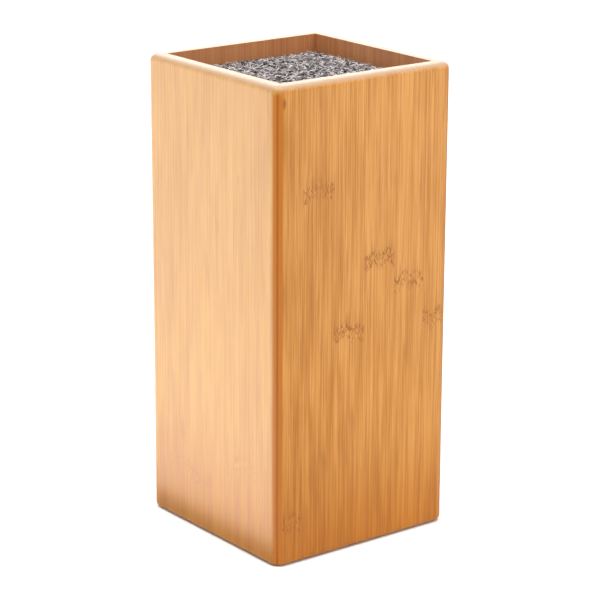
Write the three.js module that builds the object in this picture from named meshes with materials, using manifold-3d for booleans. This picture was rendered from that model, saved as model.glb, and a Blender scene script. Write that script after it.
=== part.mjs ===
// An upright knife block: a square box of mitred bamboo boards, open at the top, that holds a lift-out
// insert of plastic bristles. Blades are pushed in anywhere between the bristles.
//
// Millimetres, +Z up. The origin is the centre of the footprint, on the surface that the block stands on.
import * as THREE from 'three';
import { mergeVertices } from 'three/addons/utils/BufferGeometryUtils.js';
import Module from 'manifold-3d';

const wasm = await Module();
wasm.setup();

// ---- driving dimensions ----

// the whole block
const blockSide = 100;
const blockHeight = 222;

// the bamboo boards
const boardThickness = 7;
const baseThickness = 6;
const grooveDepth = 3; // how far the base board is let into each wall board
const glueLine = 0.1; // room for glue at every joint between boards
const baseRecess = 2; // the base board's underside, above the lower edges of the walls

// the rounding of the box's edges
const uprightRound = 3.6;
const rimRound = 3.2;
const heelRound = 2.3;
const mouthRound = 1.8; // round the inside of the rim

// the rubber feet under the base board
const footRadius = 5;
const footInset = 13; // from the inside face of a wall board to the middle of a foot
const footStandProud = 0.5; // the feet carry the lower edges of the walls this far off the table
const footEdge = 0.4;

// the bristle insert
const insertClearance = 1; // between the insert and each wall board
const insertCorner = 6;
const tuftsPerSide = 4;
const tuftGap = 0.4; // between neighbouring tufts
const bristleRecess = 7; // the bristle tips, below the rim
const trayFloor = 2;
const trayDepth = 10; // from the tray's underside to the top of its wells
const wellWall = 1.2;
const wellClearance = 0.2; // round the foot of a tuft in its well

// ---- sizes that follow from them ----

const cavitySide = blockSide - 2 * boardThickness;
const wallBottom = footStandProud;
const baseBottom = wallBottom + baseRecess;
const baseTop = baseBottom + baseThickness;
const insertSide = cavitySide - 2 * insertClearance;
const trayTop = baseTop + trayDepth;
const tuftBottom = baseTop + trayFloor;
const tuftTop = blockHeight - bristleRecess;
const tuftPitch = insertSide / tuftsPerSide;

// how finely round edges are drawn, and how far a cutting solid runs past what it cuts
const arcSteps = 8;
const overrun = 10;

// ---- materials ----

const bamboo = { color: '#dda366', roughness: 0.42, metalness: 0 };
const bambooBase = { color: '#d39a5f', roughness: 0.6, metalness: 0 };
const rubber = { color: '#3b3a39', roughness: 0.85, metalness: 0 };
const blackPlastic = { color: '#2a2a2c', roughness: 0.5, metalness: 0 };
const greyBristle = { color: '#8d8583', roughness: 0.6, metalness: 0 };

// ---- outlines and solids ----

// A rectangle with rounded corners, round the point (x, y). A radius of 0 leaves the corners sharp.
function rectangle(width, height, radius = 0, x = 0, y = 0) {
  const right = x + width / 2;
  const left = x - width / 2;
  const top = y + height / 2;
  const bottom = y - height / 2;
  const shape = new THREE.Shape();
  shape.moveTo(left + radius, bottom);
  shape.lineTo(right - radius, bottom);
  if (radius > 0) shape.absarc(right - radius, bottom + radius, radius, -Math.PI / 2, 0);
  shape.lineTo(right, top - radius);
  if (radius > 0) shape.absarc(right - radius, top - radius, radius, 0, Math.PI / 2);
  shape.lineTo(left + radius, top);
  if (radius > 0) shape.absarc(left + radius, top - radius, radius, Math.PI / 2, Math.PI);
  shape.lineTo(left, bottom + radius);
  if (radius > 0) shape.absarc(left + radius, bottom + radius, radius, Math.PI, Math.PI * 1.5);
  return shape;
}

// The outline of the box seen from one side: its height upwards, with the heel and the rim rounded.
function sideOutline() {
  const half = blockSide / 2;
  const shape = new THREE.Shape();
  shape.moveTo(-half + heelRound, wallBottom);
  shape.lineTo(half - heelRound, wallBottom);
  shape.absarc(half - heelRound, wallBottom + heelRound, heelRound, -Math.PI / 2, 0);
  shape.lineTo(half, blockHeight - rimRound);
  shape.absarc(half - rimRound, blockHeight - rimRound, rimRound, 0, Math.PI / 2);
  shape.lineTo(-half + rimRound, blockHeight);
  shape.absarc(-half + rimRound, blockHeight - rimRound, rimRound, Math.PI / 2, Math.PI);
  shape.lineTo(-half, wallBottom + heelRound);
  shape.absarc(-half + heelRound, wallBottom + heelRound, heelRound, Math.PI, Math.PI * 1.5);
  return shape;
}

// The hollow seen from the side: straight up between the boards, and flaring out round the mouth.
function hollowOutline() {
  const half = cavitySide / 2;
  const flared = half + mouthRound;
  const shape = new THREE.Shape();
  shape.moveTo(-half, -overrun);
  shape.lineTo(half, -overrun);
  shape.lineTo(half, blockHeight - mouthRound);
  shape.absarc(flared, blockHeight - mouthRound, mouthRound, Math.PI, Math.PI / 2, true);
  shape.lineTo(flared, blockHeight + overrun);
  shape.lineTo(-flared, blockHeight + overrun);
  shape.lineTo(-flared, blockHeight);
  shape.absarc(-flared, blockHeight - mouthRound, mouthRound, Math.PI / 2, 0, true);
  shape.lineTo(-half, -overrun);
  return shape;
}

// An outline pushed straight up, from one height to another.
function upright(shape, low, high) {
  const geometry = new THREE.ExtrudeGeometry(shape, {
    depth: high - low,
    bevelEnabled: false,
    curveSegments: arcSteps,
  });
  return geometry.translate(0, 0, low);
}

// An outline drawn in width and height, pushed through the whole box from front to back.
function throughBox(shape) {
  const length = blockSide + 2 * overrun;
  const geometry = upright(shape, -length / 2, length / 2);
  return geometry.rotateX(Math.PI / 2);
}

// The closed solid that a geometry bounds, ready to be joined and cut.
function solidOf(geometry) {
  const bare = geometry.clone();
  bare.deleteAttribute('normal');
  bare.deleteAttribute('uv');
  const merged = mergeVertices(bare);
  return new wasm.Manifold(
    new wasm.Mesh({
      numProp: 3,
      vertProperties: new Float32Array(merged.getAttribute('position').array),
      triVerts: new Uint32Array(merged.getIndex().array),
    }),
  );
}

// The geometry of a solid's surface.
function surfaceOf(solid) {
  const mesh = solid.getMesh();
  const geometry = new THREE.BufferGeometry();
  geometry.setAttribute('position', new THREE.BufferAttribute(mesh.vertProperties, 3));
  geometry.setIndex(new THREE.BufferAttribute(mesh.triVerts, 1));
  geometry.computeVertexNormals();
  return geometry;
}

// One named piece of the block.
function piece(name, geometry, look) {
  const mesh = new THREE.Mesh(geometry, new THREE.MeshStandardMaterial(look));
  mesh.name = name;
  return mesh;
}

// ---- the box ----

// The box before it is parted into boards: rounded outside, hollow inside, with the groove for the base
// board round the inside of its foot and a rounded mouth.
function boxShell() {
  const sideView = throughBox(sideOutline());
  const outside = solidOf(upright(rectangle(blockSide, blockSide, uprightRound), 0, blockHeight + overrun))
    .intersect(solidOf(sideView))
    .intersect(solidOf(sideView.clone().rotateZ(Math.PI / 2)));
  const hollowView = throughBox(hollowOutline());
  const hollow = solidOf(hollowView).intersect(solidOf(hollowView.clone().rotateZ(Math.PI / 2)));
  const grooveSide = cavitySide + 2 * grooveDepth;
  const groove = solidOf(upright(rectangle(grooveSide, grooveSide), baseBottom - glueLine, baseTop + glueLine));
  return outside.subtract(hollow).subtract(groove);
}

// The quarter of the plan that one wall board takes, up to its mitres. Half the glue line is left at each.
function mitreWedge() {
  const reach = blockSide / 2 + overrun;
  const shift = glueLine / Math.SQRT2;
  const shape = new THREE.Shape();
  shape.moveTo(0, -shift);
  shape.lineTo(-reach, -reach - shift);
  shape.lineTo(reach, -reach - shift);
  return upright(shape, -overrun, blockHeight + overrun);
}

// The four wall boards, mitred to each other at the upright edges.
function wallBoards() {
  const shell = boxShell();
  const boards = new THREE.Group();
  ['front_board', 'right_board', 'back_board', 'left_board'].forEach((name, quarter) => {
    const wedge = solidOf(mitreWedge().rotateZ((quarter * Math.PI) / 2));
    boards.add(piece(name, surfaceOf(shell.intersect(wedge)), bamboo));
  });
  return boards;
}

// The base board, let into the groove of all four walls.
function baseBoard() {
  const side = cavitySide + 2 * (grooveDepth - glueLine);
  return piece('base_board', upright(rectangle(side, side), baseBottom, baseTop), bambooBase);
}

// One round rubber foot with an eased lower edge, stuck to the underside of the base board.
function foot(name, x, y) {
  const profile = [
    new THREE.Vector2(0, 0),
    new THREE.Vector2(footRadius - footEdge, 0),
    new THREE.Vector2(footRadius, footEdge),
    new THREE.Vector2(footRadius, baseBottom),
    new THREE.Vector2(0, baseBottom),
  ];
  const mesh = piece(name, new THREE.LatheGeometry(profile, 4 * arcSteps).rotateX(Math.PI / 2), rubber);
  mesh.position.set(x, y, 0);
  return mesh;
}

// The four feet, near the corners of the base board.
function feet() {
  const out = cavitySide / 2 - footInset;
  const group = new THREE.Group();
  for (const [depthWord, y] of [['front', -out], ['back', out]]) {
    for (const [sideWord, x] of [['left', -out], ['right', out]]) {
      group.add(foot(`foot_${depthWord}_${sideWord}`, x, y));
    }
  }
  return group;
}

// ---- the lift-out insert ----

// The middle of a row or column of tufts, counted from 0.
function tuftPlace(index) {
  return (index + 0.5) * tuftPitch - insertSide / 2;
}

// Calls the function with the row, the column and the middle of each tuft's place.
function forEachTuft(make) {
  for (let row = 0; row < tuftsPerSide; row += 1) {
    for (let column = 0; column < tuftsPerSide; column += 1) {
      make(row, column, tuftPlace(column), tuftPlace(row));
    }
  }
}

// The moulded tray: a floor with a low grid of walls, which leaves one well for the foot of each tuft.
function insertTray() {
  let tray = solidOf(upright(rectangle(insertSide, insertSide, insertCorner), baseTop, trayTop));
  const wellSide = tuftPitch - wellWall;
  const field = solidOf(
    upright(rectangle(insertSide - 2 * wellWall, insertSide - 2 * wellWall, insertCorner - wellWall),
      tuftBottom, trayTop + overrun),
  );
  forEachTuft((row, column, x, y) => {
    const well = solidOf(upright(rectangle(wellSide, wellSide, 0, x, y), tuftBottom, trayTop + overrun));
    tray = tray.subtract(well.intersect(field));
  });
  return piece('insert_tray', surfaceOf(tray), blackPlastic);
}

// One tuft: the foot that is fused into its well, and the brush above the tray that fills the whole pitch.
function tuft(name, x, y) {
  const footSide = tuftPitch - wellWall - 2 * wellClearance;
  const brushSide = tuftPitch - tuftGap;
  const rim = wellWall + wellClearance;
  const footField = solidOf(
    upright(rectangle(insertSide - 2 * rim, insertSide - 2 * rim, insertCorner - rim), tuftBottom, tuftTop),
  );
  const brushField = solidOf(
    upright(rectangle(insertSide - tuftGap, insertSide - tuftGap, insertCorner), tuftBottom, tuftTop),
  );
  const footPart = solidOf(upright(rectangle(footSide, footSide, 0, x, y), tuftBottom, tuftTop));
  const brushPart = solidOf(
    upright(rectangle(brushSide, brushSide, 0, x, y), trayTop + wellClearance, tuftTop),
  );
  const solid = footPart.intersect(footField).add(brushPart.intersect(brushField));
  return piece(name, surfaceOf(solid), greyBristle);
}

// Every tuft, named by its row from the front and its column from the left.
function tufts() {
  const group = new THREE.Group();
  forEachTuft((row, column, x, y) => {
    group.add(tuft(`bristle_tuft_${row + 1}_${column + 1}`, x, y));
  });
  return group;
}

// ---- the block ----

const box = new THREE.Group();
box.add(wallBoards(), baseBoard(), feet());

const insert = new THREE.Group();
insert.add(insertTray(), tufts());

const knifeBlock = new THREE.Group();
knifeBlock.add(box, insert);

export default knifeBlock;
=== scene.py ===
"""The looks of an upright bamboo knife block with a lift-out insert of plastic bristles.

Everything is in metres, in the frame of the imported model: +Z up, the front board towards -Y, and the
origin in the middle of the footprint, on the surface that the block stands on. Patterns on the wood
are laid out in millimetres on the front board, and each of the other boards turns them round to itself.
"""

import functools
import logging
import math
import random
from collections.abc import Iterable, Sequence
from dataclasses import dataclass, field
from enum import Enum

import bmesh
import bpy
from bmesh.types import BMEdge, BMesh, BMVert
from bpy.types import Material, Node, NodeOutputs, NodeTree, Object
from bpy.types import NodeSocket as Socket
from mathutils import Matrix, Vector, noise


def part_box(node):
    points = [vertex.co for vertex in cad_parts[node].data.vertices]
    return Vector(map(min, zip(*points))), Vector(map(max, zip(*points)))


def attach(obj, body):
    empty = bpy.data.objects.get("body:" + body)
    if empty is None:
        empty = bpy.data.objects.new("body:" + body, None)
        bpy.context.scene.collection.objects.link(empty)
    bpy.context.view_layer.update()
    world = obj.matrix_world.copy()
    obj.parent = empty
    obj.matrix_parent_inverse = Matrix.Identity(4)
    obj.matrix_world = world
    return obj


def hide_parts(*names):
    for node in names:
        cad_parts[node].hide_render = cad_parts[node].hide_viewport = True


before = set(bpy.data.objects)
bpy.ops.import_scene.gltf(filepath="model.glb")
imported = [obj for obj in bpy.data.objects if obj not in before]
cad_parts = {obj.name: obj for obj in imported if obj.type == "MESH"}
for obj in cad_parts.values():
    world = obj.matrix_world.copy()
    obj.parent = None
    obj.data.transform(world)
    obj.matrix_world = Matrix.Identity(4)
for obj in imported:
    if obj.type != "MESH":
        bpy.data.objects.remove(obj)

LOG = logging.getLogger("knife_block")
MM = 0.001
TINY = 1e-7
SHARP_ANGLE = math.radians(38)

Rgb = tuple[float, float, float]
Feed = Socket | float | tuple | Vector


class Side(Enum):
    """A wall board: its CAD node, and how many quarter turns it stands round from the front."""

    FRONT = ("front_board", 0)
    RIGHT = ("right_board", 1)
    BACK = ("back_board", 2)
    LEFT = ("left_board", 3)

    @property
    def node(self) -> str:
        """The CAD node of this board."""
        return self.value[0]

    @property
    def angle(self) -> float:
        """How far the board is turned about +Z from the front, in radians."""
        return self.value[1] * math.pi / 2


class Body(Enum):
    """The CAD bodies that the pieces ride on."""

    BOX = "box"
    INSERT = "bristle_insert"


# ---- node graphs ----


class Graph:
    """Adds nodes to a node tree and joins them, with sockets and plain values given alike."""

    def __init__(self, tree: NodeTree) -> None:
        """Starts work on a tree."""
        self.tree = tree

    def feed(self, socket: Socket, value: Feed) -> None:
        """Joins an input to a socket, or sets it to a value.

        Args:
            socket: the input to feed.
            value: an output socket, a number, a vector or a colour.
        """
        if isinstance(value, Socket):
            self.tree.links.new(value, socket)
        elif socket.type == "RGBA":
            socket.default_value = (*value, 1.0)
        else:
            socket.default_value = value

    def add(self, kind: str, feeds: dict[str | int, Feed], **settings: object) -> Node:
        """Adds one node.

        Args:
            kind: the node's type, without ShaderNode in front.
            feeds: what goes into its inputs, by name or number.
            settings: the node's own properties.

        Returns:
            The new node.
        """
        node = self.tree.nodes.new(f"ShaderNode{kind}")
        for name, value in settings.items():
            setattr(node, name, value)
        for name, value in feeds.items():
            self.feed(node.inputs[name], value)
        return node

    def math(self, operation: str, *numbers: Feed) -> Socket:
        """The result of one Math node on up to three numbers."""
        return self.add("Math", dict(enumerate(numbers)), operation=operation).outputs[0]

    def times(self, a: Feed, b: Feed) -> Socket:
        """The product of two numbers."""
        return self.math("MULTIPLY", a, b)

    def scaled(self, value: Feed, factor: Feed, shift: Feed) -> Socket:
        """A number times a factor, plus a shift."""
        return self.math("MULTIPLY_ADD", value, factor, shift)

    def vector(self, x: Feed, y: Feed, z: Feed) -> Socket:
        """Three numbers put together as a vector."""
        return self.add("CombineXYZ", {0: x, 1: y, 2: z}).outputs[0]

    def parts(self, vector: Feed) -> tuple[Socket, Socket, Socket]:
        """A vector taken apart into its three numbers."""
        return tuple(self.add("SeparateXYZ", {0: vector}).outputs)

    def stretch(self, vector: Feed, *factors: float) -> Socket:
        """A vector with each of its numbers multiplied by its own factor."""
        node = self.add("VectorMath", {0: vector, 1: factors}, operation="MULTIPLY")
        return node.outputs[0]

    def step(self, value: Feed, start: Feed, end: Feed, low: Feed = 0.0, high: Feed = 1.0) -> Socket:
        """A smooth step.

        Args:
            value: what is measured.
            start: where the step starts.
            end: where it ends, which may be below start.
            low: what it gives up to start.
            high: what it gives from end on.

        Returns:
            The stepped value.
        """
        feeds = dict(enumerate((value, start, end, low, high)))
        return self.add("MapRange", feeds, interpolation_type="SMOOTHSTEP").outputs[0]

    def between(self, value: Feed, rise: Sequence[float], fall: Sequence[float]) -> Socket:
        """A smooth step up over one range, and down again over another."""
        return self.times(self.step(value, *rise), self.step(value, fall[1], fall[0]))

    def noise(self, vector: Feed, scale: float = 1.0, detail: float = 2.0, rough: float = 0.5) -> Socket:
        """A soft noise from 0 to 1 over a vector."""
        feeds = {"Vector": vector, "Scale": scale, "Detail": detail, "Roughness": rough}
        return self.add("TexNoise", feeds).outputs[0]

    def chance(self, vector: Feed) -> Socket:
        """An even random number from 0 to 1 for each vector."""
        return self.add("TexWhiteNoise", {"Vector": vector}).outputs[0]

    def mix(self, factor: Feed, a: Feed, b: Feed, blend: str = "MIX") -> Socket:
        """Two colours mixed."""
        feeds = {0: factor, 6: a, 7: b}
        return self.add("Mix", feeds, data_type="RGBA", blend_type=blend).outputs[2]

    def choice(self, number: Feed, values: Sequence[float]) -> Socket:
        """Gives one of a list of values.

        Args:
            number: which value, counted from 0.
            values: the list.

        Returns:
            The value in the list.
        """
        place = self.math("DIVIDE", self.math("ADD", number, 0.5), len(values))
        node = self.add("ValToRGB", {0: place})
        ramp = node.color_ramp
        ramp.interpolation = "CONSTANT"
        for index, value in enumerate(values):
            stop = ramp.elements[index] if index < len(ramp.elements) else ramp.elements.new(1.0)
            stop.position = index / len(values)
            stop.color = (value, value, value, 1.0)
        return node.outputs[0]

    def place(self, group: NodeTree, feeds: dict[str, Feed]) -> NodeOutputs:
        """Places a node group with its own values.

        Args:
            group: the group's tree.
            feeds: what goes into its named inputs.

        Returns:
            The group's outputs.
        """
        node = self.add("Group", {}, node_tree=group)
        for name, value in feeds.items():
            self.feed(node.inputs[name], value)
        return node.outputs


class Group(Graph):
    """A shader node group being drawn up, with its named inputs and outputs."""

    def __init__(self, name: str, inputs: dict[str, str], outputs: Sequence[str]) -> None:
        """Makes an empty group.

        Args:
            name: the group's name.
            inputs: the kind of each named input, Float or Vector.
            outputs: the names of its number outputs.
        """
        super().__init__(bpy.data.node_groups.new(name, "ShaderNodeTree"))
        for label, kind in inputs.items():
            self.tree.interface.new_socket(label, in_out="INPUT", socket_type=f"NodeSocket{kind}")
        for label in outputs:
            self.tree.interface.new_socket(label, in_out="OUTPUT", socket_type="NodeSocketFloat")
        self.given = self.tree.nodes.new("NodeGroupInput").outputs
        self.result = self.tree.nodes.new("NodeGroupOutput").inputs

    def give(self, label: str, value: Socket) -> None:
        """Joins a value to one of the group's outputs."""
        self.tree.links.new(value, self.result[label])


@functools.cache
def strip_layout() -> NodeTree:
    """The strips that a board is glued up from, side by side across its width.

    Returns:
        A group that tells, at each place, which strip it is in, how far across the strip, how near to
        a joint, and a random shift for that strip's fibres.
    """
    group = Group(
        "strip_layout",
        {"Across Board": "Float", "First Joint": "Float", "Strip Width": "Float", "Seed": "Float"},
        ("Number", "Across", "Joint", "Shift"),
    )
    joint_half = 0.32
    joint_core = 0.02
    width = group.given["Strip Width"]
    from_joint = group.math("SUBTRACT", group.given["Across Board"], group.given["First Joint"])
    strips = group.math("DIVIDE", from_joint, width)
    number = group.math("ADD", group.math("FLOOR", strips), 1.0)
    part = group.math("FRACT", strips)
    across = group.times(group.math("SUBTRACT", part, 0.5), width)
    to_joint = group.math("SUBTRACT", group.times(width, 0.5), group.math("ABSOLUTE", across))
    group.give("Number", number)
    group.give("Across", across)
    group.give("Joint", group.step(to_joint, joint_half, joint_core))
    group.give("Shift", group.chance(group.vector(number, group.given["Seed"], 7.5)))
    return group.tree


@functools.cache
def fibre_grain() -> NodeTree:
    """Bamboo's straight fibres, drawn out along the board.

    Returns:
        A group that gives fine streaks, broad bands, sparse dark threads and a height.
    """
    group = Group("fibre_grain", {"Place": "Vector"}, ("Fine", "Broad", "Thread", "Height"))
    place = group.given["Place"]
    hair_share = 0.55
    thread_half = 0.03

    # Each stretch is in waves to a millimetre: across the strip, through the board, along the fibres.
    middle = group.noise(group.stretch(place, 0.9, 0.9, 0.011), detail=1.0)
    hair = group.noise(group.stretch(place, 2.0, 2.0, 0.018), detail=2.0, rough=0.7)
    broad = group.noise(group.stretch(place, 0.14, 0.14, 0.016), detail=3.0, rough=0.6)
    wander = group.noise(group.stretch(place, 0.6, 0.6, 0.009), detail=2.0)
    breaks = group.noise(group.stretch(place, 0.2, 0.2, 0.03), detail=1.0)

    fine = group.scaled(hair, hair_share, group.times(middle, 1.0 - hair_share))
    off_line = group.math("ABSOLUTE", group.math("SUBTRACT", wander, 0.5))
    line = group.step(off_line, thread_half, 0.0)
    whole = group.step(breaks, 0.42, 0.62)
    group.give("Fine", group.step(fine, 0.38, 0.62))
    group.give("Broad", group.step(broad, 0.3, 0.7))
    group.give("Thread", group.times(line, whole))
    group.give("Height", fine)
    return group.tree


@functools.cache
def knuckle_mark() -> NodeTree:
    """The node of a bamboo stem, planed through: slanted dashes in a zigzag, under fading streaks.

    Returns:
        A group that gives the dark dashes, the pale ones between them and the streaks above, from the
        millimetres across the strip and above the knuckle.
    """
    group = Group("knuckle_mark", {"Across": "Float", "Above": "Float", "Seed": "Float"},
                  ("Dark", "Pale", "Streaks"))
    across, above, seed = (group.given[label] for label in ("Across", "Above", "Seed"))
    wander = 11.0
    column_width = 1.7
    zigzag_rise = 3.0
    slope = 0.55
    shadow = 0.25

    # The knuckle's level wanders across the strip. Its dashes slant one way and then the other, and
    # the columns of them, side by side, slant opposite ways.
    sway = group.noise(group.vector(group.times(across, 0.14), seed, 3.1), detail=1.0)
    level = group.scaled(group.math("SUBTRACT", sway, 0.5), wander, above)
    column = group.math("FLOOR", group.math("DIVIDE", across, column_width))
    way = group.scaled(group.math("FLOORED_MODULO", column, 2.0), 2.0, -1.0)
    lean = group.times(group.math("PINGPONG", level, zigzag_rise), slope)
    slanted = group.math("ADD", across, group.times(lean, way))
    cell = group.vector(group.times(slanted, 1.7), group.times(level, 0.3), seed)
    strokes = group.noise(cell, detail=1.0, rough=0.4)
    band = group.between(level, (-5.0, -2.8), (2.4, 5.0))
    group.give("Dark", group.times(group.step(strokes, 0.52, 0.58), band))
    group.give("Pale", group.times(group.step(strokes, 0.46, 0.38), band))

    # Above them the fibres are streaked, and a faint shadow lies under the whole knuckle.
    upright = group.vector(group.times(across, 0.85), group.times(above, 0.05), seed)
    streaks = group.step(group.noise(upright, detail=1.0), 0.5, 0.66)
    fade = group.between(level, (-1.0, 2.0), (2.0, 11.0))
    faded = group.times(streaks, fade)
    zone = group.between(level, (-5.5, -1.0), (0.0, 8.0))
    group.give("Streaks", group.math("MAXIMUM", faded, group.times(zone, shadow)))
    return group.tree


@functools.cache
def end_grain() -> NodeTree:
    """The cut ends of bamboo fibres, as small dark dots on faces that look along the fibres.

    Returns:
        A group that gives the dots, from a place and how squarely the face looks up or down.
    """
    group = Group("end_grain", {"Place": "Vector", "Facing": "Float"}, ("Dots",))
    dot_edge = 0.36
    dot_core = 0.14
    flat = group.stretch(group.given["Place"], 1.0, 1.0, 0.0)
    away = group.add("TexVoronoi", {"Vector": flat, "Scale": 1.0}, feature="F1").outputs["Distance"]
    shown = group.step(group.math("ABSOLUTE", group.given["Facing"]), 0.75, 0.95)
    group.give("Dots", group.times(group.step(away, dot_edge, dot_core), shown))
    return group.tree


@functools.cache
def moulded_skin() -> NodeTree:
    """The skin of a moulded plastic or rubber part: a fine texture over slow unevenness.

    Returns:
        A group that gives the fine texture and the slow unevenness, from a place.
    """
    group = Group("moulded_skin", {"Place": "Vector", "Scale": "Float"}, ("Texture", "Uneven"))
    place = group.given["Place"]
    slowness = 0.06
    group.give("Texture", group.noise(place, group.given["Scale"], detail=2.0))
    slow = group.times(group.given["Scale"], slowness)
    group.give("Uneven", group.step(group.noise(place, slow, detail=3.0), 0.3, 0.7))
    return group.tree


# ---- finishes ----


class Finish:
    """A surface finish, which makes its own material."""

    def start(self, name: str) -> tuple[Material, Graph, Node]:
        """Makes a material with nothing but its shader.

        Args:
            name: the material's name.

        Returns:
            The material, its graph and its Principled shader.
        """
        material = bpy.data.materials.new(name)
        material.use_nodes = True
        material.node_tree.nodes.clear()
        graph = Graph(material.node_tree)
        shader = graph.add("BsdfPrincipled", {})
        graph.add("OutputMaterial", {"Surface": shader.outputs[0]})
        return material, graph, shader

    def millimetres(self, graph: Graph, angle: float = 0.0) -> Socket:
        """The place on the object in millimetres, turned back by an angle about +Z.

        Args:
            graph: the material's graph.
            angle: how far the piece is turned from the front, in radians.

        Returns:
            The place as a vector.
        """
        place = graph.add("TexCoord", {}).outputs["Object"]
        scale = (1 / MM, 1 / MM, 1 / MM)
        feeds = {"Vector": place, "Rotation": (0.0, 0.0, -angle), "Scale": scale}
        return graph.add("Mapping", feeds, vector_type="POINT").outputs[0]


@dataclass(frozen=True)
class BambooFinish(Finish):
    """Oiled bamboo board, glued up from upright strips.

    Args:
        name: the material's name.
        angle: how far the board is turned from the front, in radians.
        first_joint: where the first joint between strips is, in mm from the board's left edge.
        knuckles: how far below the rim each strip's knuckle is, in mm, from left to right. A strip
            whose knuckle would lie past the board's foot shows none.
        knuckle_strength: how dark the knuckles are.
        tones: how light each strip is, from 0 to 1, from left to right.
        seed: sets the fibres apart from the other boards'.
        corner_shade: a small patch of painted shade, in mm from the board's left edge and below the rim.
        foot_shade_share: how much the lowest part of the board takes of the painted shade at the foot, a
            warm tint.
        foot_shade_reach: how high that painted shade reaches, in mm. The other widths and heights are in
            mm too.
        inner_face: how far the board's inner side is from the middle of the box, in mm.
        light: the wood at its lightest, and deep at its darkest.
        mark: the colour of its knuckles, threads, joints and end grain.
        edge: the colour of the painted shade on the rounded corners by the mitre, and glue that of the
            mitre itself.
        fibre_scatter: how far apart the strips' fibres are shifted, in mm.
        strip_contrast: how far the strips' tones differ, and so with the other contrasts.
        inside_shade_share: how much the inner side takes of inside, its painted shade colour, and so with
            the other shares.
    """

    name: str
    angle: float
    first_joint: float
    knuckles: tuple[float, ...]
    knuckle_strength: float
    tones: tuple[float, ...]
    seed: float
    corner_shade: tuple[float, float] | None = None
    # Painted shade at the foot of the board, standing in for the dimmer reflection near the floor.
    foot_shade_share: float = 0.4
    strip_width: float = 17.45
    board_width: float = 100.0
    board_height: float = 222.0
    foot_shade_reach: float = 75.0
    inner_face: float = 43.1
    light: Rgb = (0.57, 0.265, 0.062)
    deep: Rgb = (0.35, 0.122, 0.004)
    mark: Rgb = (0.25, 0.075, 0.001)
    # Painted shade: the darker colour of the rounded outside corners by the mitre.
    edge: Rgb = (0.38, 0.115, 0.001)
    # Painted shade: the warm tint that darkens the foot.
    foot_shade_tint: Rgb = (0.86, 0.68, 0.2)
    # Painted light: the paler colour of faces that look up, for the light and sheen they catch from
    # above.
    rim: Rgb = (0.38, 0.26, 0.17)
    # Painted shade and reflection: the darker, redder colour of the inner faces.
    inside: Rgb = (0.44, 0.17, 0.115)
    glue: Rgb = (0.28, 0.062, 0.0005)
    gloss: float = 0.3
    roughness: float = 0.38
    fibre_scatter: float = 900.0
    knuckle_scatter: float = 90.0
    strip_contrast: float = 0.4
    band_contrast: float = 0.4
    fibre_contrast: float = 0.6
    pale_contrast: float = 0.25
    thread_share: float = 0.4
    joint_share: float = 0.16
    streak_share: float = 0.7
    inside_shade_share: float = 0.45
    edge_shade_share: float = 0.9
    glue_share: float = 0.85
    dot_share: float = 0.4

    def material(self) -> Material:
        """The material of the board.

        Returns:
            The new material.
        """
        material, graph, shader = self.start(self.name)
        place = self.millimetres(graph, self.angle)
        x, y, z = graph.parts(place)
        strips = graph.place(strip_layout(), {
            "Across Board": graph.math("ADD", x, self.board_width / 2),
            "First Joint": self.first_joint,
            "Strip Width": self.strip_width,
            "Seed": self.seed,
        })
        shift = graph.times(strips["Shift"], self.fibre_scatter)
        strip_place = graph.vector(graph.math("ADD", x, shift), y, graph.math("ADD", z, shift))
        grain = graph.place(fibre_grain(), {"Place": strip_place})
        depth = graph.times(graph.choice(strips["Number"], self.shares()), self.board_height)
        above = graph.math("SUBTRACT", z, graph.math("SUBTRACT", self.board_height, depth))
        knuckle = graph.place(knuckle_mark(), {
            "Across": strips["Across"],
            "Above": above,
            "Seed": graph.times(strips["Shift"], self.knuckle_scatter),
        })
        facing = graph.parts(graph.add("NewGeometry", {}).outputs["Normal"])[2]
        dots = graph.place(end_grain(), {"Place": place, "Facing": facing})["Dots"]
        colour = self.coloured(graph, strips, grain, knuckle, facing, dots)
        # Painted shade: the foot of the board is tinted darker and warmer, for the dimmer reflection near
        # the floor.
        foot = graph.step(z, self.foot_shade_reach, 0.0, high=self.foot_shade_share)
        colour = graph.mix(foot, colour, self.foot_shade_tint, "MULTIPLY")
        # Painted shade: a small dark patch near the top of the rounded corner.
        if self.corner_shade:
            colour = self.add_corner_shade(graph, colour, x, z)
        graph.feed(shader.inputs["Base Color"], self.glued(graph, colour, x, y, z))
        shader.inputs["Specular IOR Level"].default_value = self.gloss
        rough = graph.scaled(grain["Fine"], 0.12, self.roughness)
        graph.feed(shader.inputs["Roughness"], rough)
        bump = graph.add("Bump", {"Strength": 0.12, "Distance": 0.0003, "Height": grain["Height"]})
        graph.feed(shader.inputs["Normal"], bump.outputs[0])
        return material

    def shares(self) -> tuple[float, ...]:
        """Each knuckle's depth as a share of the board's height."""
        return tuple(depth / self.board_height for depth in self.knuckles)

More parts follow.
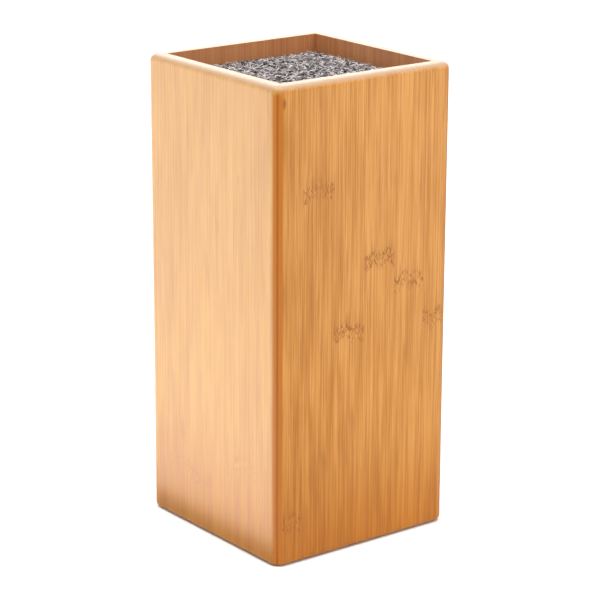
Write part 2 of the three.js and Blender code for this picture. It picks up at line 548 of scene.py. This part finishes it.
    def coloured(self, graph: Graph, strips: NodeOutputs, grain: NodeOutputs,
                 knuckle: NodeOutputs, facing: Socket, dots: Socket) -> Socket:
        """The colour of the wood before its glued mitre.

        Args:
            graph: the material's graph.
            strips: what the strip layout gives.
            grain: what the fibre grain gives.
            knuckle: what the knuckle mark gives.
            facing: how squarely the face looks up.
            dots: the end grain.

        Returns:
            The colour.
        """
        strip = graph.choice(strips["Number"], self.tones)
        tone = graph.scaled(strip, self.strip_contrast, -self.strip_contrast / 2)
        tone = graph.scaled(grain["Broad"], self.band_contrast, tone)
        tone = graph.scaled(grain["Fine"], self.fibre_contrast, tone)
        tone = graph.scaled(knuckle["Pale"], self.pale_contrast, tone)
        colour = graph.mix(tone, self.deep, self.light)
        marks = (
            (grain["Thread"], self.thread_share),
            (strips["Joint"], self.joint_share),
            (knuckle["Streaks"], self.streak_share * self.knuckle_strength),
            (knuckle["Dark"], self.knuckle_strength),
        )
        for mask, strength in marks:
            colour = graph.mix(graph.times(mask, strength), colour, self.mark)
        # Painted light: faces that look up are painted paler, for the light and sheen they catch from
        # above.
        colour = graph.mix(graph.step(facing, 0.1, 0.95), colour, self.rim)
        return graph.mix(graph.times(dots, self.dot_share), colour, self.mark)

    def add_corner_shade(self, graph: Graph, colour: Socket, x: Socket, z: Socket) -> Socket:
        """The colour with a small dark patch of painted shade, longer than it is wide.

        Args:
            graph: the material's graph.
            colour: the colour of the wood.
            x: the place along the board, in mm.
            z: the height, in mm.

        Returns:
            The colour.
        """
        width_to_length = 0.4
        raggedness = 1.2
        across, depth = self.corner_shade
        aside = graph.math("SUBTRACT", x, across - self.board_width / 2)
        along = graph.math("SUBTRACT", z, self.board_height - depth)
        along = graph.times(along, width_to_length)
        squared = graph.scaled(aside, aside, graph.times(along, along))
        uneven = graph.noise(graph.vector(x, z, 0.0), 1.2)
        ragged = graph.scaled(uneven, raggedness, graph.math("SQRT", squared))
        return graph.mix(graph.step(ragged, 1.9, 1.0), colour, self.mark)

    def glued(self, graph: Graph, colour: Socket, x: Socket, y: Socket, z: Socket) -> Socket:
        """The colour with the glue of the mitre outside, and painted shade: darker rounded corners, and a
        darker, redder inside.

        Args:
            graph: the material's graph.
            colour: the colour of the wood.
            x: the place along the board, in mm.
            y: the place through the board, in mm.
            z: the height, in mm.

        Returns:
            The colour.
        """
        half = self.board_width / 2
        across = graph.math("ABSOLUTE", x)
        through = graph.math("ABSOLUTE", y)
        # Painted shade and reflection: the inner faces are tinted darker and redder.
        inside = graph.step(through, self.inner_face + 0.5, self.inner_face, high=self.inside_shade_share)
        colour = graph.mix(inside, colour, self.inside)

        below_rim = graph.step(z, self.board_height - 2.5, self.board_height - 4.5)
        corner = graph.step(graph.math("ADD", across, through), 2 * half - 6.5, 2 * half - 4.5)
        outside = graph.times(corner, below_rim)
        # Painted shade: the rounded corners by the mitre are darkened, outside and below the rim.
        edge = graph.step(across, half - 3.8, half - 3.0, high=self.edge_shade_share)
        colour = graph.mix(graph.times(edge, outside), colour, self.edge)

        to_mitre = graph.math("ABSOLUTE", graph.math("SUBTRACT", across, through))
        line = graph.step(to_mitre, 0.8, 0.3, high=self.glue_share)
        return graph.mix(graph.times(line, outside), colour, self.glue)


@dataclass(frozen=True)
class MouldedFinish(Finish):
    """Moulded plastic or rubber, in one colour family, with a fine texture."""

    name: str
    low: Rgb
    high: Rgb
    roughness: float
    texture_scale: float = 1.5
    bump: float = 0.1

    def material(self) -> Material:
        """The material of the moulded part.

        Returns:
            The new material.
        """
        material, graph, shader = self.start(self.name)
        place = self.millimetres(graph)
        skin = graph.place(moulded_skin(), {"Place": place, "Scale": self.texture_scale})
        graph.feed(shader.inputs["Base Color"], graph.mix(skin["Uneven"], self.low, self.high))
        rough = graph.scaled(skin["Texture"], 0.2, self.roughness - 0.1)
        graph.feed(shader.inputs["Roughness"], rough)
        bump = graph.add("Bump", {"Strength": self.bump, "Distance": 0.0002, "Height": skin["Texture"]})
        graph.feed(shader.inputs["Normal"], bump.outputs[0])
        return material


@dataclass(frozen=True)
class BristleFinish(Finish):
    """Plastic bristle, light at the tips and painted dark below them and along the walls as shade, where
    each strand has its own tone.
    """

    name: str = "bristle_plastic"
    tip_level: float = 215.0
    # Painted shade starts this far below the tips.
    shade_depth: float = 1.7
    dark: Rgb = (0.032, 0.027, 0.026)
    light: Rgb = (0.70, 0.62, 0.605)
    # Painted shade: the share of its tone a strand keeps below the tips.
    shaft_shade_share: float = 0.05
    # Painted shade along the walls: where it reaches, how softly it fades, and how much tone is left.
    wall_shade_reach: float = 38.4
    wall_shade_fade: float = 2.2
    wall_shade_share: float = 0.15

    def material(self) -> Material:
        """The material of the bristles.

        Returns:
            The new material.
        """
        material, graph, shader = self.start(self.name)
        place = self.millimetres(graph)
        skin = graph.place(moulded_skin(), {"Place": graph.stretch(place, 1.0, 1.0, 0.3), "Scale": 0.9})
        tone = graph.add("Attribute", {}, attribute_name="tone", attribute_type="GEOMETRY").outputs["Fac"]
        tone = graph.scaled(skin["Texture"], 0.25, graph.times(tone, 0.85))
        tone = graph.step(tone, 0.12, 0.95)
        # Painted shade: below the tips the strands are darkened almost to black, as the shade deep in the
        # tufts.
        tip = graph.step(graph.parts(place)[2], self.tip_level - self.shade_depth, self.tip_level + 0.1)
        shown = graph.times(tip, self.wall_shade(graph, place))
        shown = graph.scaled(shown, 1.0 - self.shaft_shade_share, self.shaft_shade_share)
        tone = graph.times(tone, shown)
        graph.feed(shader.inputs["Base Color"], graph.mix(tone, self.dark, self.light))
        graph.feed(shader.inputs["Roughness"], graph.scaled(skin["Texture"], 0.2, 0.3))
        bump = graph.add("Bump", {"Strength": 0.08, "Distance": 0.0001, "Height": skin["Texture"]})
        graph.feed(shader.inputs["Normal"], bump.outputs[0])
        return material

    def wall_shade(self, graph: Graph, place: Socket) -> Socket:
        """How much of its tone a tip keeps: along the walls the strands are painted darker, as the shade
        of the walls.

        Args:
            graph: the material's graph.
            place: the place on the object, in mm.

        Returns:
            The share of tone kept, from 0 to 1.
        """
        x, y, _ = graph.parts(place)
        # Painted shade: strands near the walls are darkened, as the shade of the walls.
        outward = graph.math("MAXIMUM", graph.math("ABSOLUTE", x), graph.math("ABSOLUTE", y))
        nearest = self.wall_shade_reach - self.wall_shade_fade
        farthest = self.wall_shade_reach + self.wall_shade_fade
        return graph.step(outward, farthest, nearest, low=self.wall_shade_share)


# ---- mesh helpers ----


def block_mesh(low: Vector, high: Vector) -> BMesh:
    """A mesh of one rectangular block between two corners.

    Args:
        low: its lowest corner.
        high: its highest corner.

    Returns:
        The new mesh.
    """
    mesh = bmesh.new()
    size = Matrix.Diagonal(high - low).to_4x4()
    bmesh.ops.create_cube(mesh, size=1.0, matrix=Matrix.Translation((low + high) / 2) @ size)
    return mesh


def round_over(mesh: BMesh, edges: Iterable[BMEdge], radius: float,
               segments: int) -> None:
    """Rounds edges over.

    Args:
        mesh: the mesh that they belong to.
        edges: the edges.
        radius: how far the rounding reaches from each edge.
        segments: how many flats make it up.
    """
    bmesh.ops.bevel(mesh, geom=list(edges), offset=radius, offset_type="OFFSET", segments=segments,
                    profile=0.5, affect="EDGES", material=-1, clamp_overlap=False)


def slice_off(mesh: BMesh, point: Vector, direction: Vector) -> None:
    """Cuts off everything beyond a plane, and closes the cut.

    Args:
        mesh: the mesh to cut.
        point: a point on the plane.
        direction: points from the plane to the side that goes.
    """
    everything = [*mesh.verts, *mesh.edges, *mesh.faces]
    bmesh.ops.bisect_plane(mesh, geom=everything, dist=TINY, plane_co=point, plane_no=direction,
                           clear_outer=True)
    bmesh.ops.holes_fill(mesh, edges=[edge for edge in mesh.edges if edge.is_boundary])


def at_level(edge: BMEdge, axis: int, level: float) -> bool:
    """Whether both ends of an edge are at one level along an axis."""
    return all(abs(vert.co[axis] - level) < TINY * 10 for vert in edge.verts)


def add_piece(mesh: BMesh, name: str, material: Material) -> Object:
    """Turns a finished mesh into a piece of the scene, and frees it.

    Args:
        mesh: the mesh, in place.
        name: the piece's name.
        material: its finish.

    Returns:
        The new object.
    """
    bmesh.ops.recalc_face_normals(mesh, faces=mesh.faces)
    data = bpy.data.meshes.new(name)
    mesh.to_mesh(data)
    mesh.free()
    data.materials.append(material)
    data.shade_smooth()
    data.set_sharp_from_angle(angle=SHARP_ANGLE)
    piece = bpy.data.objects.new(name, data)
    bpy.context.scene.collection.objects.link(piece)
    return piece


def settle(piece: Object, body: Body, slot: str, *nodes: str) -> Object:
    """Ties a piece to its body, and hides the CAD nodes that it stands for.

    Args:
        piece: the finished piece.
        body: the body that it moves with.
        slot: not used.
        nodes: the CAD nodes that it replaces.

    Returns:
        The same piece.
    """
    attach(piece, body.value)
    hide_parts(*nodes)
    LOG.info("%s: %d faces", piece.name, len(piece.data.polygons))
    return piece


# ---- the box ----


@dataclass
class WallBoard:
    """One of the four boards of the box, mitred at both ends and grooved for the base."""

    side: Side
    finish: BambooFinish
    thickness: float = 7 * MM
    glue_gap: float = 0.02 * MM
    upright_round: float = 3.6 * MM
    rim_round: float = 3.2 * MM
    heel_round: float = 2.3 * MM
    mouth_round: float = 1.8 * MM
    groove_depth: float = 3 * MM
    groove_slack: float = 0.1 * MM
    support: float = 0.35 * MM
    flat_area: float = 25 * MM * 7 * MM

    def build(self) -> Object:
        """Makes the board and puts it round the box.

        Returns:
            The board's piece.
        """
        low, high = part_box(Side.FRONT.node)
        mesh = self.blank(low, Vector((high.x, -low.y, high.z)))
        inner_face = low.y + self.thickness
        slice_off(mesh, Vector((0, inner_face, 0)), Vector((0, 1, 0)))
        self.round_mouth(mesh, inner_face, high.z)
        self.cut_groove(mesh, inner_face)
        for way in (1, -1):
            across = Vector((way, 1, 0)).normalized()
            slice_off(mesh, -across * self.glue_gap, across)
        self.hold_flats(mesh)
        turn = Matrix.Rotation(self.side.angle, 3, "Z")
        bmesh.ops.rotate(mesh, verts=mesh.verts, cent=Vector(), matrix=turn)
        piece = add_piece(mesh, f"{self.side.name.lower()}_bamboo", self.finish.material())
        return settle(piece, Body.BOX, "bamboo", self.side.node)

    def blank(self, low: Vector, high: Vector) -> BMesh:
        """A solid block with the box's rounded outside, which the board is cut from.

        Args:
            low: the box's lowest corner.
            high: the box's highest corner.

        Returns:
            The new mesh.
        """
        mesh = block_mesh(low, high)
        uprights = [edge for edge in mesh.edges
                    if not at_level(edge, 2, low.z) and not at_level(edge, 2, high.z)]
        round_over(mesh, uprights, self.upright_round, segments=12)
        for level, radius, segments in ((high.z, self.rim_round, 9), (low.z, self.heel_round, 7)):
            edges = [edge for edge in mesh.edges if at_level(edge, 2, level)]
            round_over(mesh, edges, radius, segments)
        return mesh

    def round_mouth(self, mesh: BMesh, inner_face: float, rim: float) -> None:
        """Rounds the inner edge of the rim.

        Args:
            mesh: the board so far.
            inner_face: the level of the board's inner face, along Y.
            rim: the level of the rim.
        """
        edges = [edge for edge in mesh.edges if at_level(edge, 1, inner_face) and at_level(edge, 2, rim)]
        round_over(mesh, edges, self.mouth_round, segments=6)

    def cut_groove(self, mesh: BMesh, inner_face: float) -> None:
        """Cuts the groove that the base board sits in.

        Args:
            mesh: the board so far.
            inner_face: the level of the board's inner face, along Y.
        """
        base_low, base_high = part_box("base_board")
        levels = (base_low.z - self.groove_slack, base_high.z + self.groove_slack)
        for level in levels:
            faces = [face for face in mesh.faces
                     if all(abs(vert.co.y - inner_face) < 10 * TINY for vert in face.verts)]
            around = dict.fromkeys(item for face in faces for item in (*face.verts, *face.edges, face))
            bmesh.ops.bisect_plane(mesh, geom=list(around), dist=TINY, plane_co=Vector((0, 0, level)),
                                   plane_no=Vector((0, 0, 1)))
        middle = sum(levels) / 2
        strip = [face for face in mesh.faces
                 if face.normal.y > 0.9 and abs(face.calc_center_median().z - middle) < 10 * TINY]
        made = bmesh.ops.extrude_face_region(mesh, geom=strip)["geom"]
        moved = [item for item in made if isinstance(item, BMVert)]
        bmesh.ops.delete(mesh, geom=strip, context="FACES")
        bmesh.ops.translate(mesh, verts=moved, vec=Vector((0, -self.groove_depth, 0)))

    def hold_flats(self, mesh: BMesh) -> None:
        """Frames the large flat faces, so that the rounded edges do not shade into them."""
        flats = [face for face in mesh.faces if face.calc_area() > self.flat_area]
        bmesh.ops.inset_individual(mesh, faces=flats, thickness=self.support, use_even_offset=True)


@dataclass
class BaseBoard:
    """The board let into the grooves of the walls, which the insert stands on."""

    finish: BambooFinish
    edge_round: float = 0.5 * MM

    def build(self) -> Object:
        """Makes the base.

        Returns:
            The base's piece.
        """
        mesh = block_mesh(*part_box("base_board"))
        round_over(mesh, mesh.edges, self.edge_round, segments=3)
        piece = add_piece(mesh, "base_bamboo", self.finish.material())
        return settle(piece, Body.BOX, "bamboo_base", "base_board")


@dataclass
class Foot:
    """A round rubber foot, stuck under the base, with a shallow hollow in its sole.

    Args:
        node: the foot's CAD node.
        finish: its rubber.
        hollow_inset: how far in the hollow starts, as a share of the radius.
        hollow_slope: how wide its slope is, as a share of the radius.
    """

    node: str
    finish: MouldedFinish
    edge_round: float = 0.35 * MM
    segments: int = 40
    hollow_inset: float = 0.3
    hollow_slope: float = 0.06
    hollow_depth: float = 0.12 * MM

    def build(self) -> Object:
        """Makes the foot.

        Returns:
            The foot's piece.
        """
        low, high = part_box(self.node)
        radius = (high.x - low.x) / 2
        mesh = bmesh.new()
        middle = Matrix.Translation((low + high) / 2)
        bmesh.ops.create_cone(mesh, cap_ends=True, segments=self.segments, radius1=radius, radius2=radius,
                              depth=high.z - low.z, matrix=middle)
        edges = [edge for edge in mesh.edges if at_level(edge, 2, low.z)]
        round_over(mesh, edges, self.edge_round, segments=3)
        under = [face for face in mesh.faces if face.normal.z < -0.9 and len(face.verts) == self.segments]
        bmesh.ops.inset_region(mesh, faces=under, thickness=radius * self.hollow_inset)
        bmesh.ops.inset_region(mesh, faces=under, thickness=radius * self.hollow_slope,
                               depth=-self.hollow_depth)
        piece = add_piece(mesh, f"{self.node}_rubber", self.finish.material())
        return settle(piece, Body.BOX, "rubber_feet", self.node)


@dataclass
class Box:
    """The bamboo box: four mitred boards round a base, on four rubber feet."""

    def build(self) -> None:
        """Makes every piece of the box."""
        for finish, side in zip(self.finishes(), Side, strict=True):
            WallBoard(side, finish).build()
        base = BambooFinish(
            "bamboo_base_wood", angle=0.0, first_joint=11.0, knuckles=(120.0,), knuckle_strength=0.0,
            tones=(0.5, 0.35, 0.6, 0.45, 0.55, 0.4), seed=5.5,
        )
        BaseBoard(base).build()
        rubber = MouldedFinish(
            "foot_rubber", low=(0.02, 0.02, 0.021), high=(0.04, 0.039, 0.038), roughness=0.75,
            texture_scale=3.0, bump=0.3,
        )
        for row in ("front", "back"):
            for hand in ("left", "right"):
                Foot(f"foot_{row}_{hand}", rubber).build()

    def finishes(self) -> tuple[BambooFinish, ...]:
        """The finish of each wall board, in the order of the sides.

        Returns:
            The four finishes.
        """
        return (
            BambooFinish(
                "bamboo_front", Side.FRONT.angle, first_joint=14.4, seed=1.5,
                knuckles=(201.0, 50.0, 117.5, 85.6, 98.7, 118.7), knuckle_strength=0.85,
                # The front's strip tones rise to the right: partly the strips' own tones, partly painted
                # light.
                tones=(0.14, 0.2, 0.46, 0.56, 0.7, 0.62), corner_shade=(4.0, 7.5), foot_shade_share=1.0,
            ),
            BambooFinish(
                "bamboo_right", Side.RIGHT.angle, first_joint=12.0, seed=2.5,
                knuckles=(64.0, 178.0, 92.0, 148.0, 35.0, 126.0), knuckle_strength=0.7,
                tones=(0.5, 0.66, 0.4, 0.58, 0.35, 0.55),
            ),
            BambooFinish(
                "bamboo_back", Side.BACK.angle, first_joint=16.2, seed=3.5,
                knuckles=(92.0, 141.0, 60.0, 187.0, 108.0, 44.0), knuckle_strength=0.75,
                tones=(0.6, 0.42, 0.52, 0.7, 0.45, 0.38),
            ),
            BambooFinish(
                "bamboo_left", Side.LEFT.angle, first_joint=15.0, seed=4.5,
                knuckles=(250.0, 193.0, 196.0, 250.0, 180.0, 250.0), knuckle_strength=0.3,
                tones=(0.5, 0.42, 0.66, 0.74, 0.5, 0.3), foot_shade_share=1.0,
                # Painted light: the left board's colours are less red and closer together than the
                # others', for its brightly lit face.
                light=(0.515, 0.268, 0.056), deep=(0.355, 0.14, 0.006),
            ),
        )


# ---- the insert ----


@dataclass
class Strand:
    """One crimped bristle, standing at the origin, with a tip that curls over."""

    seed: int
    length: float
    radius: float = 0.19 * MM
    sides: int = 4
    shaft_rings: int = 4
    crimp: float = 0.25 * MM
    tip_rise: float = 0.9 * MM
    bend_run: float = 0.55 * MM
    bend_rings: int = 2
    flat_run: float = 1.0 * MM
    flat_rings: int = 2
    curl: tuple[float, float] = (math.radians(68), math.radians(100))
    twist: float = 0.35
    stretch: tuple[float, float] = (0.6, 1.15)

    def build(self) -> bpy.types.Mesh:
        """Makes the strand.

        Returns:
            A mesh data block with the strand's tone on its points.
        """
        chance = random.Random(self.seed)
        mesh = bmesh.new()
        tone = mesh.verts.layers.float.new("tone")
        places = self.places(chance)
        bmesh.ops.create_circle(mesh, cap_ends=True, segments=self.sides, radius=self.radius,
                                matrix=places[0])
        ring = list(mesh.edges)
        for before, after in zip(places, places[1:]):
            made = bmesh.ops.extrude_edge_only(mesh, edges=ring)["geom"]
            points = [item for item in made if isinstance(item, BMVert)]
            ring = [edge for edge in made if isinstance(edge, BMEdge)
                    and all(vert in points for vert in edge.verts)]
            bmesh.ops.transform(mesh, verts=points, matrix=after @ before.inverted())
        bmesh.ops.holes_fill(mesh, edges=ring)
        bmesh.ops.recalc_face_normals(mesh, faces=mesh.faces)
        shade = chance.random()
        for vert in mesh.verts:
            vert[tone] = shade
        data = bpy.data.meshes.new(f"strand_{self.seed}")
        mesh.to_mesh(data)
        mesh.free()
        return data

    def places(self, chance: random.Random) -> list[Matrix]:
        """Where each ring of the strand is.

        Args:
            chance: the strand's own random numbers.

        Returns:
            A placement for each ring, from the foot to the tip.
        """
        rise = (self.length - self.tip_rise) / self.shaft_rings
        places = []
        for index in range(self.shaft_rings + 1):
            sway = self.crimp if 0 < index < self.shaft_rings else 0.0
            aside = Vector((chance.uniform(-sway, sway), chance.uniform(-sway, sway), index * rise))
            places.append(Matrix.Translation(aside))
        turn = chance.uniform(*self.curl) / self.bend_rings
        twist = Matrix.Rotation(chance.uniform(-self.twist, self.twist), 4, "X")
        flat_run = self.flat_run * chance.uniform(*self.stretch)
        steps = [(turn, self.bend_run)] * self.bend_rings + [(0.0, flat_run)] * self.flat_rings
        for tilt, run in steps:
            bend = Matrix.Rotation(tilt, 4, "Y") @ twist @ Matrix.Translation((0, 0, run))
            places.append(places[-1] @ bend)
        return places


@dataclass
class BristleTuft:
    """One square tuft of the insert, made of many strands."""

    row: int
    column: int
    strands: list[bpy.types.Mesh]
    finish: Material
    reach: float
    pitch: float = 1.2 * MM
    inset: float = 0.4 * MM
    jitter: float = 0.25 * MM
    lean: float = 1.2 * MM
    curl_reach: float = 2.1 * MM
    corner: float = 6 * MM
    clump_size: float = 5 * MM
    edge_zone: float = 3.5 * MM
    edge_drop: float = 2.6 * MM
    uneven_cut: tuple[float, float] = (-0.9 * MM, 0.2 * MM)

    @property
    def node(self) -> str:
        """The CAD node of this tuft."""
        return f"bristle_tuft_{self.row}_{self.column}"

    def build(self) -> Object:
        """Plants the tuft.

        Returns:
            The tuft's piece.
        """
        chance = random.Random(100 * self.row + self.column)
        low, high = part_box(self.node)
        mesh = bmesh.new()
        mesh.verts.layers.float.new("tone")
        for foot in self.feet(low, high, chance):
            strand = chance.choice(self.strands).copy()
            strand.transform(self.stance(foot, high.z - low.z, chance))
            mesh.from_mesh(strand)
            bpy.data.meshes.remove(strand)
        piece = add_piece(mesh, f"{self.node}_strands", self.finish)
        return settle(piece, Body.INSERT, "bristles", self.node)

    def feet(self, low: Vector, high: Vector, chance: random.Random) -> list[Vector]:
        """Where the strands stand, on a loose honeycomb that keeps off the insert's rounded corners.

        Args:
            low: the tuft's lowest corner.
            high: the tuft's highest corner.
            chance: the tuft's own random numbers.

        Returns:
            The foot of each strand.
        """
        arc = self.reach - self.corner
        row_step = self.pitch * math.sqrt(3) / 2
        start = low.x + self.inset
        feet = []
        for line in range(int((high.y - low.y - 2 * self.inset) / row_step) + 1):
            offset = self.pitch / 2 * (line % 2)
            for place in range(int((high.x - low.x - 2 * self.inset - offset) / self.pitch) + 1):
                x = start + offset + place * self.pitch + chance.uniform(-self.jitter, self.jitter)
                y = low.y + self.inset + line * row_step + chance.uniform(-self.jitter, self.jitter)
                past = Vector((max(abs(x) - arc, 0.0), max(abs(y) - arc, 0.0)))
                if past.length < self.corner - self.inset:
                    feet.append(Vector((x, y, low.z)))
        return feet

    def stance(self, foot: Vector, height: float, chance: random.Random) -> Matrix:
        """How one strand stands: turned, cut a little long or short, and leaning with its clump.

        Args:
            foot: where it stands.
            height: the height of the tuft.
            chance: the tuft's own random numbers.

        Returns:
            The strand's placement.
        """
        lean = noise.noise_vector(foot / self.clump_size) * self.lean
        top = Vector((foot.x + lean.x, foot.y + lean.y))
        for axis in (0, 1):
            top[axis] = max(-self.reach + self.inset, min(self.reach - self.inset, top[axis]))
        heading = chance.uniform(0, 2 * math.pi)
        while self.over_edge(top, heading):
            heading = chance.uniform(0, 2 * math.pi)
        shear = Matrix.Identity(4)
        shear[0][2] = (top.x - foot.x) / height
        shear[1][2] = (top.y - foot.y) / height
        to_edge = self.reach - max(abs(top.x), abs(top.y))
        sunk = self.edge_drop * max(0.0, 1.0 - to_edge / self.edge_zone)
        shear[2][2] = 1.0 + (chance.uniform(*self.uneven_cut) - sunk) / height
        return Matrix.Translation(foot) @ shear @ Matrix.Rotation(heading, 4, "Z")

    def over_edge(self, top: Vector, heading: float) -> bool:
        """Whether a tip that curls over this way would reach past the insert's edge."""
        curl = self.curl_reach * Vector((math.cos(heading), math.sin(heading)))
        return max(abs(value) for value in top + curl) > self.reach


@dataclass
class Insert:
    """The lift-out insert: a plastic tray that holds tufts of bristles."""

    patterns: int = 14
    tip_clearance: float = 0.1 * MM
    clump_seed: int = 5
    rows: int = 4

    def build(self) -> None:
        """Makes every tuft, and dresses the tray."""
        noise.seed_set(self.clump_seed)
        self.dress_tray()
        low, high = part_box("bristle_tuft_1_1")
        length = high.z - low.z - self.tip_clearance
        strands = [Strand(seed, length).build() for seed in range(self.patterns)]
        finish = BristleFinish().material()
        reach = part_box("bristle_tuft_4_4")[1].x
        for row in range(1, self.rows + 1):
            for column in range(1, self.rows + 1):
                BristleTuft(row, column, strands, finish, reach).build()
        for strand in strands:
            bpy.data.meshes.remove(strand)

    def dress_tray(self) -> None:
        """Gives the CAD node of the tray its moulded plastic finish."""
        finish = MouldedFinish(
            "tray_plastic_black", low=(0.028, 0.028, 0.03), high=(0.05, 0.049, 0.048), roughness=0.45,
        )
        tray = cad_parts["insert_tray"]
        material = finish.material()
        for place in tray.material_slots:
            place.material = material
        LOG.info("%s: kept from the frame", tray.name)


# ---- the studio ----


@dataclass
class Studio:
    """A plain pale floor, a white surround, soft lights and the camera."""

    azimuth: float = math.radians(-37.56)
    elevation: float = math.radians(16.60)
    roll: float = math.radians(0.23)
    distance: float = 1128.6 * MM
    lens: float = 144.32
    target: Vector = field(default_factory=lambda: Vector((0, 0, 102.27 * MM)))
    aside: float = 1.023 * MM
    raised: float = 4.207 * MM
    floor_size: float = 8.0
    surround: float = 0.82

    def build(self) -> None:
        """Sets up the studio."""
        self.floor()
        self.world()
        self.lamp("overhead", self.facing(Vector((-0.2, -0.1, 1.5))), 1.2, 1.2, 5.8)
        self.lamp("key", self.facing(Vector((0.25, -1.1, 0.8))), 0.6, 0.6, 3.5)
        self.lamp("back_glow", self.facing(Vector((0.75, 0.95, 0.75))), 1.4, 1.4, 2.8, only_gloss=True)
        self.lamp("left_glow", self.lying(Vector((-0.661, 1.05, 0.004))), 1.2, 2.2, 5.2, only_gloss=True)
        self.lamp("edge_glow", self.facing(Vector((-1.4, 1.85, 0.4))), 2.4, 0.8, 4.2, only_gloss=True)
        self.lamp("front_glow", self.lying(Vector((0.85, -1.06, 0.004))), 1.4, 1.34, 2.0, only_gloss=True)
        self.camera()
        bpy.context.scene.view_settings.view_transform = "Standard"

    def floor(self) -> None:
        """The floor."""
        mesh = bmesh.new()
        bmesh.ops.create_grid(mesh, x_segments=1, y_segments=1, size=self.floor_size / 2)
        finish = MouldedFinish(
            "floor_paint", low=(0.86, 0.86, 0.86), high=(0.9, 0.9, 0.9), roughness=0.8,
            texture_scale=0.05, bump=0.02,
        )
        add_piece(mesh, "floor", finish.material())

    def world(self) -> None:
        """The white surround."""
        world = bpy.data.worlds.new("surround")
        world.use_nodes = True
        background = world.node_tree.nodes["Background"]
        background.inputs["Color"].default_value = (1.0, 1.0, 1.0, 1.0)
        background.inputs["Strength"].default_value = self.surround
        bpy.context.scene.world = world

    def facing(self, place: Vector) -> Matrix:
        """The placement of a lamp that faces the block from a place."""
        aim = self.target - place
        return Matrix.Translation(place) @ aim.to_track_quat("-Z", "Y").to_matrix().to_4x4()

    def lying(self, place: Vector) -> Matrix:
        """The placement of a lamp that lies face up."""
        return Matrix.Translation(place) @ Matrix.Rotation(math.pi, 4, "X")

    def lamp(self, name: str, placement: Matrix, length: float, width: float, radiance: float,
             only_gloss: bool = False) -> None:
        """Adds a soft rectangular lamp.

        Args:
            name: the lamp's name.
            placement: where it is and how it is turned.
            length: its size along its own X.
            width: its size along its own Y.
            radiance: how bright its face is, where the white surround is about 1.
            only_gloss: whether it shows in reflections and lights nothing else.
        """
        data = bpy.data.lights.new(name, "AREA")
        data.shape = "RECTANGLE"
        data.size = length
        data.size_y = width
        data.energy = radiance * math.pi * length * width
        lamp = bpy.data.objects.new(name, data)
        lamp.matrix_world = placement
        lamp.visible_camera = False
        lamp.visible_diffuse = not only_gloss
        bpy.context.scene.collection.objects.link(lamp)

    def camera(self) -> None:
        """The camera, round the object by its azimuth and above it by its elevation."""
        east = math.sin(self.azimuth) * math.cos(self.elevation)
        south = math.cos(self.azimuth) * math.cos(self.elevation)
        back = Vector((east, -south, math.sin(self.elevation)))
        right = Vector((math.cos(self.azimuth), math.sin(self.azimuth), 0))
        up = back.cross(right)
        turned = Matrix.Rotation(self.roll, 3, back)
        axes = Matrix((turned @ right, turned @ up, back)).transposed().to_4x4()
        place = self.target + back * self.distance + right * self.aside + up * self.raised
        data = bpy.data.cameras.new("camera")
        data.lens = self.lens
        camera = bpy.data.objects.new("camera", data)
        camera.matrix_world = Matrix.Translation(place) @ axes
        bpy.context.scene.collection.objects.link(camera)
        bpy.context.scene.camera = camera


def main() -> None:
    """Builds the studio and the knife block round the frame."""
    logging.basicConfig(level=logging.INFO, format="%(name)s: %(message)s")
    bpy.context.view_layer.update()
    Studio().build()
    Box().build()
    Insert().build()


if __name__ == "__main__":
    main()
